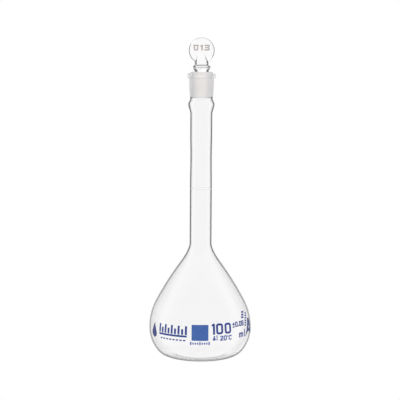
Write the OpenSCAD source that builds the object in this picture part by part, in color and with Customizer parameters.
// Volumetric flask, 100 ml, with a ground-glass stopper.
// Millimetres. Z is the axis of the flask, z = 0 is the plane it stands on.
// The printed marks face -Y; +X is to their reader's right.
// The glass walls are revolved chains of tangent arcs. The graduation ring is
// placed where the inside of the flask holds exactly the marked capacity.

/* [Bulb] */
// Outer radius of the flat foot
foot_r = 17; // [16.5:0.1:17.5]
// Inner radius of the foot ring, where the raised centre of the base starts
foot_in_r = 15; // [13:0.5:15.5]
// Height of the raised centre of the base
punt_h = 0.8; // [0.4:0.1:1.2]
// Radius of the arc from the foot to the heel
heel_r = 10.8; // [10.4:0.1:11.2]
// Angle at which the heel arc ends
heel_a = 53.8; // [52:0.2:56]
// Radius of the arc from the heel to the widest point
belly_r = 21.55; // [21:0.05:22]
// Radius of the arc above the widest point
shoulder_r = 33.75; // [33:0.25:34.5]
// Angle turned by the shoulder arc
shoulder_a = 27.6; // [26:0.2:29]
// Radius of the nearly straight cone above the shoulder
cone_r = 166; // [140:1:200]
// Lean of the cone where it starts to sweep into the neck
cone_a = 35.7; // [34.5:0.1:37]
// Radius of the first part of the sweep into the neck
sweep_r = 29.5; // [27:0.5:32]
// Lean left where the tighter throat arc takes over
sweep_a = 20.8; // [18:0.2:23]
// Radius of the throat arc at the foot of the neck
throat_r = 8.25; // [7:0.25:10]

/* [Neck] */
// Outer radius of the neck tube
neck_r = 6.43; // [6.2:0.01:6.6]
// Length of the neck tube, from the throat to the start of the bulge
neck_len = 74.8; // [70:0.1:80]
// Depth of the gentle draw-in of the tube above the graduation ring
draw_in = 0.18; // [0:0.01:0.25]
// Outer radius of the bulge under the ground socket
bulge_r = 7.67; // [7.4:0.01:7.9]
// Height of the rising side of the bulge
bulge_rise = 5.9; // [5:0.1:7]
// Height of the falling side of the bulge
bulge_fall = 3; // [2.5:0.1:3.5]
// Outer radius of the waist between the bulge and the socket
waist_r = 6.6; // [6.5:0.01:6.75]

/* [Glass walls] */
// Wall at the centre of the base
base_wall = 1.65; // [1.2:0.05:2.2]
// Wall at the foot
foot_wall = 1.5; // [1.2:0.1:1.8]
// Wall of the bulb
bulb_wall = 1.15; // [1:0.01:1.3]
// Wall of the neck
neck_wall = 1; // [0.9:0.01:1.1]

/* [Stopper joint] */
// Radius of the ground plug at its large end
plug_r = 6.5; // [6.4:0.01:6.6]
// Taper of the joint on diameter, one in this many
taper = 10; // [9:0.5:12]
// Length of the ground zone
ground_len = 14.2; // [12:0.1:14.5]
// Height of the plug's large end above the rim when seated
seat_proud = 0.85; // [0.6:0.05:2]
// Radial gap between plug and socket
fit_gap = 0.02; // [0.01:0.01:0.05]
// Outer radius of the socket at its lower end
socket_r0 = 6.95; // [6.85:0.01:7.1]
// Outer radius of the socket under the rim
socket_r1 = 7.36; // [7.3:0.01:7.6]
// Outer radius of the rim
rim_r = 8.3; // [8.1:0.05:8.5]
// Height of the rim
rim_h = 2.75; // [2.2:0.05:3.2]
// Depth of the ground surface layer
ground_skin = 0.25; // [0.2:0.01:0.3]

/* [Stopper head] */
// Radius of the stopper's neck where it leaves the plug
stem_r = 4.1; // [3.8:0.05:4.3]
// Height of the centre of the collar bead above the plug
bead_z = 2.85; // [2.6:0.05:3.2]
// Outer radius of the collar bead
bead_r = 5.1; // [4.9:0.05:5.4]
// Height of the rounded upper side of the collar bead
bead_s = 1.2; // [1.1:0.05:1.5]
// Radius of the stopper's waist above the bead
head_waist_r = 3.95; // [3.7:0.05:4.1]
// Radius of the disc head
disc_r = 7.43; // [7:0.05:8]
// Thickness of the disc head
disc_t = 4.4; // [4:0.1:5]
// Height of the disc's centre above the plug
disc_z = 12.35; // [12.1:0.05:12.6]

/* [Marks] */
// Marked capacity in millilitres, which sets the height of the ring
capacity = 100; // [99:0.1:101]
// Height of the graduation ring line
ring_h = 0.25; // [0.2:0.05:0.6]
// Thickness of the fired-on enamel
enamel = 0.1; // [0.08:0.01:0.15]
// Side of the marking patch
patch_w = 9.6; // [8:0.1:11]
// Height of the capacity figures
figure_h = 6.2; // [5:0.1:6.6]

/* [Lift] */
// Height the stopper is lifted for viewing
lift = 0; // [0:1:30]

/* [Hidden] */
$fn = 96;
glass = [0.82, 0.88, 0.9, 0.35];
frost = [0.86, 0.86, 0.87, 0.8];
blue = [0.2, 0.32, 0.6];
grey = [0.6, 0.56, 0.56];

function last(list) = list[len(list) - 1];
function sum(list, i = 0) = i < len(list) ? list[i] + sum(list, i + 1) : 0;
function rev(list) = [for (i = [len(list) - 1 : -1 : 0]) list[i]];
function xy(points) = [for (p = points) [p[0], p[1]]];
// From one value to another, held at the ends
function mix(from, to, t) = from + (to - from) * min(1, max(0, t));
// Half a cosine wave from 0 to 1
function ease(t) = (1 - cos(180 * min(1, max(0, t)))) / 2;

// ---- outline of the bulb ----
// Its points are [radius, height, heading]; a heading of 0 runs outwards, 90 straight up.
// Arc that goes on from a point; side is 1 where the wall bulges outwards, -1 where it is hollow
function arc(start, radius, end_a, steps, side = 1) = [for (i = [1:steps])
    let (heading = mix(start[2], end_a, i / steps))
    [start[0] + side * radius * (sin(heading) - sin(start[2])),
     start[1] - side * radius * (cos(heading) - cos(start[2])), heading]];
// Point moved square to the wall, outwards where distance is positive
function shift(p, distance) = [p[0] + distance * sin(p[2]), p[1] - distance * cos(p[2])];

foot = [foot_r, 0, 0];
heel = arc(foot, heel_r, heel_a, 9);
belly = arc(last(heel), belly_r, 90, 9);
shoulder = arc(last(belly), shoulder_r, 90 + shoulder_a, 8);
cone = arc(last(shoulder), cone_r, 90 + cone_a, 4);
// A straight run takes up the radius that the sweep and throat leave over
sweep_dr = sweep_r * (cos(sweep_a) - cos(cone_a)) + throat_r * (1 - cos(sweep_a));
straight = (last(cone)[0] - neck_r - sweep_dr) / sin(cone_a);
sweep_foot = [last(cone)[0] - straight * sin(cone_a),
    last(cone)[1] + straight * cos(cone_a), 90 + cone_a];
sweep = arc(sweep_foot, sweep_r, 90 + sweep_a, 5, -1);
throat = arc(last(sweep), throat_r, 90, 6, -1);
bulb = concat([foot], heel, belly, shoulder, cone, [sweep_foot], sweep, throat);
belly_max = last(belly)[0];
belly_z = last(belly)[1];
neck_z = last(throat)[1];

// Inside of the bulb; above this height the wall thins towards the neck
thinning_z = 40;
function wall(p) = p[1] <= belly_z ? mix(foot_wall, bulb_wall, p[2] / 90)
    : mix(bulb_wall, neck_wall, (p[1] - thinning_z) / (neck_z - thinning_z));
bulb_in = [for (p = bulb) shift(p, -wall(p))];

// Base line from the axis outwards, in tenths of the foot ring's inner radius
function base_line(tenths, rise) = [for (i = [0:tenths])
    let (r = foot_in_r * i / 10) [r, punt_h * ease(1 - r / foot_in_r) + rise]];
floor_in = base_line(9, base_wall);
floor_out = base_line(10, 0);

// Volume below the neck, as a stack of cone frustums, and the height at which
// the inside holds the marked capacity
hold = concat(floor_in, bulb_in);
hold_v = sum([for (i = [1:len(hold) - 1])
    let (low = hold[i - 1], high = hold[i])
    PI / 3 * (high[1] - low[1]) * (low[0] * low[0] + low[0] * high[0] + high[0] * high[0])]);
bore_r = neck_r - neck_wall;
ring_z = neck_z + (capacity * 1000 - hold_v) / (PI * bore_r * bore_r);

// ---- outline of the neck and socket ----
bulge_z0 = neck_z + neck_len;
bulge_z = bulge_z0 + bulge_rise;
waist_z = bulge_z + bulge_fall;
waist_wall = 0.92;
socket_z = waist_z + 1.3;
rim_z = socket_z + ground_len - seat_proud;
rim_foot_z = rim_z - rim_h;
rim_round = 1.1;
plug_z = rim_z + seat_proud;

// The draw-in is deepest at draw_z and eases out over these heights
draw_z = bulge_z0 - 24.6;
draw_below = draw_z - ring_z - 0.6;
draw_above = 12.5;
function tube(z) = neck_r - draw_in * (z < draw_z
    ? ease(1 - (draw_z - z) / draw_below) : ease(1 - (z - draw_z) / draw_above));
neck_zs = concat(
    [for (i = [0:6]) draw_z - draw_below * (1 - i / 6)],
    [for (i = [1:5]) draw_z + draw_above * i / 5]);
neck_out = [for (z = neck_zs) [tube(z), z]];

// Eased change of radius over a height
function eased(r0, r1, z0, height, first, steps) = [for (i = [first:steps])
    [mix(r0, r1, ease(i / steps)), z0 + height * i / steps]];
bulge = concat(
    eased(neck_r, bulge_r, bulge_z0, bulge_rise, 0, 7),
    eased(bulge_r, waist_r, bulge_z, bulge_fall, 1, 6));

// Radius of the ground plug and socket at a height
function plug_at(z) = plug_r - (plug_z - z) / (2 * taper);
function socket_at(z) = plug_at(z) + fit_gap;

outer_wall = concat(xy(bulb), neck_out, bulge, [
    [waist_r, socket_z - 0.28],
    [waist_r + 0.1, socket_z - 0.18],
    [socket_r0 - 0.08, socket_z + 0.04],
    [socket_r0, socket_z + 0.2],
    [socket_r1, rim_foot_z - 0.25],
    [socket_r1 + 0.12, rim_foot_z - 0.05],
    [rim_r - 0.3, rim_foot_z + 0.1],
    [rim_r - 0.08, rim_foot_z + 0.25],
    [rim_r, rim_foot_z + 0.5]],
    // The rim's top is rounded over
    [for (i = [0:6]) [rim_r - rim_round * (1 - cos(15 * i)),
        rim_z - rim_round * (1 - sin(15 * i))]]);

// The ground layer sits in a recess, so the body's own bore is wider there
ground_z0 = socket_z;
ground_z1 = rim_z - 0.3;
inner_wall = concat([
    [socket_at(rim_z) + 0.3, rim_z],
    [socket_at(ground_z1) + ground_skin, ground_z1],
    [socket_at(ground_z0) + ground_skin, ground_z0],
    [socket_at(ground_z0) + 0.05, ground_z0]],
    rev([for (p = bulge)
        [p[0] - mix(neck_wall, waist_wall, (p[1] - bulge_z0) / bulge_rise), p[1]]]),
    rev([for (p = neck_out) [p[0] - neck_wall, p[1]]]),
    rev(bulb_in), rev(floor_in));

// ---- flask ----
module flask_body() {
    color(glass) rotate_extrude() polygon(concat(outer_wall, inner_wall, floor_out));
}
// Ground layer that lines the socket
module socket_ground_band() {
    color(frost) rotate_extrude() polygon([
        [socket_at(ground_z0), ground_z0], [socket_at(ground_z0) + ground_skin, ground_z0],
        [socket_at(ground_z1) + ground_skin, ground_z1], [socket_at(ground_z1), ground_z1]]);
}
// Line round the neck that marks the capacity
module graduation_ring() {
    ring_t = 0.06;
    color(blue * 0.8) rotate_extrude() translate([tube(ring_z), ring_z - ring_h / 2])
        square([ring_t, ring_h]);
}

// ---- outlines of figures and letters, each centred on its own box ----
module round_box(wide, high, corner) {
    square([wide - 2 * corner, high], center = true);
    square([wide, high - 2 * corner], center = true);
    for (x = [-1, 1], y = [-1, 1])
        translate([x * (wide / 2 - corner), y * (high / 2 - corner)]) circle(corner, $fn = 32);
}
module ring_box(wide, high, corner, stroke) {
    difference() {
        round_box(wide, high, corner);
        round_box(wide - 2 * stroke, high - 2 * stroke, max(0.05, corner - stroke));
    }
}
module fig_0(high, stroke) {
    ring_box(high * 0.69, high, high * 0.24, stroke);
}
module fig_1(high, stroke) {
    translate([stroke * 0.35, 0]) square([stroke, high], center = true);
    translate([stroke * 0.35, high / 2]) polygon([[0, 0], [-stroke * 0.3, 0],
        [-stroke * 1.1, -stroke * 0.55], [-stroke * 1.1, -stroke * 1.35], [0, -stroke * 0.9]]);
}
module fig_2(high, stroke) {
    wide = high * 0.66;
    right = wide / 2;
    top = high / 2;
    bowl_y = top - right;
    translate([0, bowl_y]) difference() {
        circle(right, $fn = 48);
        circle(right - stroke, $fn = 48);
        translate([-wide, -wide]) square([wide, wide]);
        translate([-right, -wide]) square([wide * 1.2, wide * 0.8]);
    }
    polygon([[right - stroke * 0.12, bowl_y - wide * 0.16],
        [right - stroke * 1.2, bowl_y - wide * 0.02],
        [-right, -top + stroke * 0.8], [-right, -top], [-right + stroke, -top]]);
    translate([0, stroke / 2 - top]) square([wide, stroke], center = true);
}
module fig_3(wide, high, stroke) {
    right = wide / 2;
    top = high / 2;
    // Half of the outline below the middle bar; the other half is its mirror
    low = [[right - stroke * 0.35, 0], [right, -stroke * 0.5], [right, stroke * 0.5 - top],
        [right - stroke * 0.5, -top], [-right, -top], [-right, stroke - top],
        [right - stroke, stroke - top], [right - stroke, -stroke / 2],
        [stroke * 0.6 - right, -stroke / 2]];
    polygon(concat(low, rev([for (p = low) if (p[1] < 0) [p[0], -p[1]]])));
}
module fig_8(high, stroke) {
    for (y = [-1, 1]) translate([0, y * (high - stroke) / 4])
        ring_box(high * 0.66, (high + stroke) / 2, high * 0.2, stroke);
}
module let_c(high, stroke) {
    difference() {
        ring_box(high * 0.72, high, high * 0.3, stroke);
        translate([high * 0.1, -high * 0.2]) square([high * 0.4, high * 0.4]);
    }
}
module let_m(high, stroke) {
    wide = high * 1.3;
    arch_r = (wide + stroke) / 4;
    for (x = [-1, 0, 1]) translate([x * (wide - stroke) / 2, -high * 0.12])
        square([stroke, high * 0.76], center = true);
    translate([(stroke - wide) / 2, 0]) square([stroke, high], center = true);
    for (x = [-1, 1]) translate([x * (wide - stroke) / 4, high / 2 - arch_r]) difference() {
        circle(arch_r, $fn = 40);
        circle(arch_r - stroke, $fn = 40);
        translate([-wide, -wide]) square([2 * wide, wide]);
    }
}
module let_a(wide, high, stroke) {
    // Half width of the leg's outside at a height above the foot
    function leg(y) = stroke * 0.55 + (wide / 2 - stroke * 0.55) * (1 - y / high);
    right = wide / 2;
    top = high / 2;
    bar = high * 0.24;
    foot_in = right - stroke * 1.1;
    under_bar = leg(bar) - stroke * 1.05;
    over_bar = leg(bar + stroke) - stroke * 1.05;
    over_y = bar + stroke * 0.85 - top;
    difference() {
        polygon([[-stroke * 0.55, top], [stroke * 0.55, top], [right, -top],
            [leg(bar) - stroke, bar - top], [stroke - leg(bar), bar - top], [-right, -top]]);
        polygon([[-foot_in, -top - 1], [foot_in, -top - 1],
            [under_bar, bar - top], [-under_bar, bar - top]]);
        polygon([[0, top - stroke * 1.9], [over_bar, over_y], [-over_bar, over_y]]);
    }
}
module plus_minus(arm, stroke) {
    translate([0, 0.35]) {
        square([arm, stroke], center = true);
        square([stroke, arm], center = true);
    }
    translate([0, -1.2]) square([arm, stroke], center = true);
}
module drop(radius, high) {
    // The straight flanks meet the round belly where they are tangent to it
    flank_a = asin(radius / (high - radius));
    polygon(concat([[0, high / 2]], [for (i = [0:16])
        let (a = 180 - flank_a + (180 + 2 * flank_a) * i / 16)
        [radius * cos(a), radius - high / 2 + radius * sin(a)]]));
}

// ---- fired-on marks ----
// Part of the bulb's outline that carries the enamel
layer = [for (p = bulb) if (p[1] > 9 && p[1] < 33) p];
// How far the mark prisms reach inside and outside the belly's radius
prism_in = 14;
prism_out = 3;
// Stroke and height of the small figures
small_h = 3;
small_stroke = 0.65;

// Azimuths are in degrees from -Y towards +X.
// Azimuth at which a point of the layer stands a distance to the right
function azimuth_at(x, z) = asin(x / lookup(z, [for (p = layer) [p[1], p[0]]]));
// Keeps the part of the children within the enamel layer
module print_marks() {
    intersection() {
        rotate_extrude() polygon(concat(xy(layer), rev([for (p = layer) shift(p, enamel)])));
        union() children();
    }
}
// Flat outline carried radially through the layer, facing outwards
module place(azimuth, z) {
    rotate([0, 0, azimuth]) translate([0, prism_in - belly_max, z]) rotate([90, 0, 0])
        linear_extrude(height = prism_in + prism_out) children();
}
module bar_at(azimuth, z, wide, high) {
    place(azimuth, z) square([wide, high], center = true);
}

module marking_patch() {
    color(blue) print_marks() place(0, 19) round_box(patch_w, patch_w * 0.95, 0.35);
}
// Row of ticks under the patch, longer in the middle and at both ends
module patch_rule() {
    pitch_a = 2.55;
    color(blue) print_marks() for (i = [-4:4])
        bar_at(i * pitch_a, 12.8, 0.8, abs(i) == 4 || i == 0 ? 1.9 : 1.2);
}
// The figures 100
module capacity_figure() {
    row_z = 21;
    stroke = 1.2;
    color(blue) print_marks() {
        place(14.7, row_z) fig_1(figure_h, stroke);
        for (a = [22.1, 32.4]) place(a, row_z) fig_0(figure_h, stroke);
    }
}
// The letters ml
module capacity_unit() {
    stroke = 0.8;
    color(blue) print_marks() {
        place(52.4, 15.9) let_m(2.9, stroke);
        bar_at(59.2, 16.6, stroke, 4.4);
    }
}
// Plus-minus sign and the figures 0.08
module tolerance_mark() {
    row_z = 22.5;
    color(blue) print_marks() {
        place(40.6, 22.4) plus_minus(1.8, 0.6);
        for (a = [44.9, 51.4]) place(a, row_z) fig_0(small_h, small_stroke);
        bar_at(48.1, 21.35, 0.7, 0.7);
        place(56, row_z) fig_8(3.1, 0.62);
    }
}
// Disc with a stem, three short bars, then 20 degrees C
module temperature_mark() {
    row_z = 15.6;
    disc_radius = 0.85;
    color(blue) print_marks() {
        place(15.8, 15.2) {
            circle(disc_radius);
            translate([0, disc_radius]) square([0.75, 2.2], center = true);
        }
        for (z = [14.9, 15.95, 17]) bar_at(19, z, 1.2, 0.5);
        place(24.6, row_z) fig_2(small_h, 0.68);
        place(29, row_z) fig_0(small_h, small_stroke);
        place(32.1, 16.55) difference() {
            circle(0.45);
            circle(0.18);
        }
        place(35.4, row_z) let_c(small_h, small_stroke);
    }
}
// The letter A
module class_mark() {
    color(blue) print_marks() place(71, 19.2) let_a(9.4, 10, 1.95);
}
// Plain graduated rule left of the patch: a band, ticks above it, dashes below it
module plain_rule_mark() {
    pitch_a = 4.3;
    band_start = -51.2;
    band_angle = 36.6;
    tick_foot_z = 17.6;
    color(blue) print_marks() {
        rotate([0, 0, band_start - 90]) rotate_extrude(angle = band_angle)
            translate([20, 16.2]) square([12, 1.1]);
        for (i = [0:8]) let (high = i % 2 == 0 ? 5 : 3.2)
            bar_at(-15.6 - pitch_a * i, tick_foot_z + high / 2, 1.25, high);
        for (i = [0:7]) bar_at(-17.6 - pitch_a * i, 14.3, 1.4, 0.8);
    }
}
module droplet_mark() {
    color(blue) print_marks() place(-61.5, 18) drop(2.6, 8.6);
}
// Two upright stacks of short bars near the right-hand edge
module batch_bars() {
    color(blue) print_marks() {
        for (z = [25.6:1.4:28.6]) bar_at(azimuth_at(24.3, z), z, 2.4, 1);
        for (z = [20.8:1.3:27.6]) bar_at(azimuth_at(26.1, z), z, 1.7, 0.95);
    }
}

// ---- stopper ----
// The plug's ground layer is a sleeve round its core
band_t = 0.3;
band_z = plug_z - 0.3;
core_r = plug_at(ground_z0) - band_t - fit_gap;
disc_edge = 1.7;
disc_c = plug_z + disc_z;
bead_c = plug_z + bead_z;
bead_top = bead_c + bead_s;

// Half outlines, [radius, height], from the bottom up
plug_side = [
    [0, ground_z0 - 0.85], [core_r - 0.8, ground_z0 - 0.85],
    [core_r - 0.3, ground_z0 - 0.6], [core_r, ground_z0],
    [plug_at(band_z) - band_t - fit_gap, band_z + fit_gap],
    [plug_r - 0.02, band_z + fit_gap], [plug_r - 0.18, plug_z - 0.12], [plug_r - 0.5, plug_z]];
// The bead flares out of the stem; its upper side is a short cone
bead_side = [
    [stem_r, plug_z], [stem_r + 0.1, plug_z + 0.4],
    [bead_r - 0.12, bead_c - 0.4], [bead_r - 0.03, bead_c - 0.15],
    [bead_r, bead_c + 0.05], [bead_r, bead_c + 0.2],
    [bead_r - 0.08, bead_c + 0.36], [bead_r - 0.25, bead_c + 0.56],
    [head_waist_r + 0.28, bead_top - 0.15], [head_waist_r + 0.12, bead_top],
    [head_waist_r + 0.05, bead_top + 0.18]];
// The waist narrows to a point inside the disc
waist_side = [
    [head_waist_r, bead_top + 0.6], [head_waist_r + 0.02, disc_c - 6.6],
    [head_waist_r - 0.05, disc_c - 6.2], [3.2, disc_c - 3.95], [2.65, disc_c - 2.1],
    [2.15, disc_c - 0.45], [0, disc_c]];

module stopper() {
    color(glass) translate([0, 0, lift]) union() {
        rotate_extrude() polygon(concat(plug_side, bead_side, waist_side));
        stopper_disc();
    }
}
// Disc with a rounded edge, its faces towards -Y and +Y
module stopper_disc() {
    half_t = disc_t / 2;
    flat_r = disc_r - disc_edge;
    translate([0, 0, disc_c]) rotate([90, 0, 0]) rotate_extrude() polygon(concat(
        [[0, -half_t], [flat_r, -half_t]],
        [for (i = [1:8]) let (a = -90 + 20 * i)
            [flat_r + disc_edge * cos(a), half_t * sin(a)]],
        [[flat_r, half_t], [0, half_t]]));
}
// Ground layer of the plug
module stopper_ground_band() {
    color(frost) translate([0, 0, lift]) rotate_extrude() polygon([
        [plug_at(ground_z0) - band_t, ground_z0], [plug_at(ground_z0), ground_z0],
        [plug_at(band_z), band_z], [plug_at(band_z) - band_t, band_z]]);
}
// Trapezoid from its half widths and half height
module trapezoid(top, bottom, half_h) {
    polygon([[-top, half_h], [top, half_h], [bottom, -half_h], [-bottom, -half_h]]);
}
// Size number of the ground joint, 13, on the -Y face of the disc, with a
// small taper sign before it
module stopper_size_mark() {
    mark_t = 0.06;
    color(grey) translate([0, -disc_t / 2, disc_c + 1.6 + lift]) rotate([90, 0, 0])
        linear_extrude(height = mark_t) {
            translate([-3.25, 0]) difference() {
                trapezoid(1.55, 1.1, 1.65);
                trapezoid(0.7, 0.5, 0.9);
            }
            translate([-0.1, 0]) fig_1(3.3, 0.95);
            translate([3.05, 0]) fig_3(3.1, 3.3, 0.78);
        }
}

flask_body();
socket_ground_band();
graduation_ring();
marking_patch();
patch_rule();
capacity_figure();
capacity_unit();
tolerance_mark();
temperature_mark();
class_mark();
plain_rule_mark();
droplet_mark();
batch_bars();
stopper();
stopper_ground_band();
stopper_size_mark();
